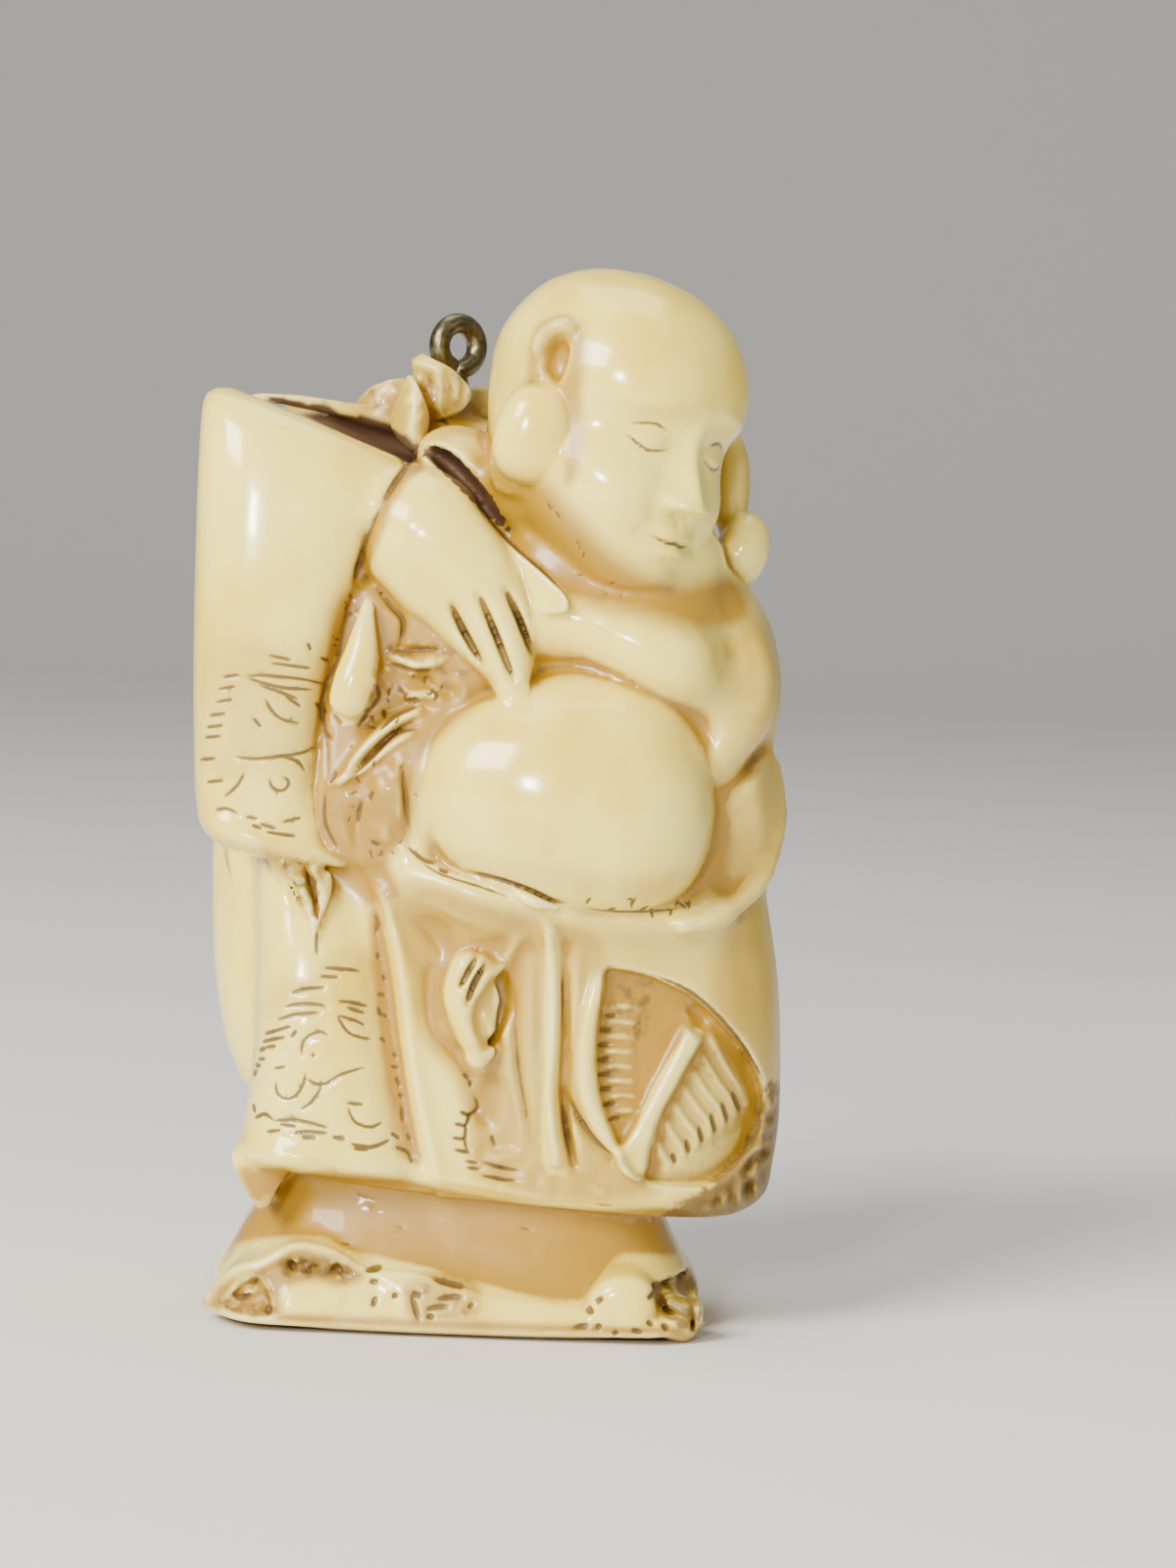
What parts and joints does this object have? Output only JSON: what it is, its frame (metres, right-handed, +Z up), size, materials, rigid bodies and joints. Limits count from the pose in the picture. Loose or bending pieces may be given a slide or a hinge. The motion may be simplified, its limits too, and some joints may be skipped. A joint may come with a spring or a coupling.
{
  "type": "netsuke",
  "caption": "Carved standing netsuke of a round-bellied monk with a tied sack on his back and a folding fan, on a flared foot, with a small metal screw eye in the sack's knot.",
  "frame": {"origin": "middle of the flat underside of the foot", "axes": "+Z up through the figure, the figure faces -Y, its right hand is at -X and its left hand at +X"},
  "size_m": [0.0286, 0.0226, 0.0495],
  "materials": {
    "ivory": "polished cream, stained tan and brown in the carved recesses",
    "eye_metal": "tarnished, grey-green, rubbed bright on the high spots"
  },
  "bodies": {
    "root": {"carved_figure": "ivory", "screw_eye": "eye_metal"}
  },
  "joints": []
}
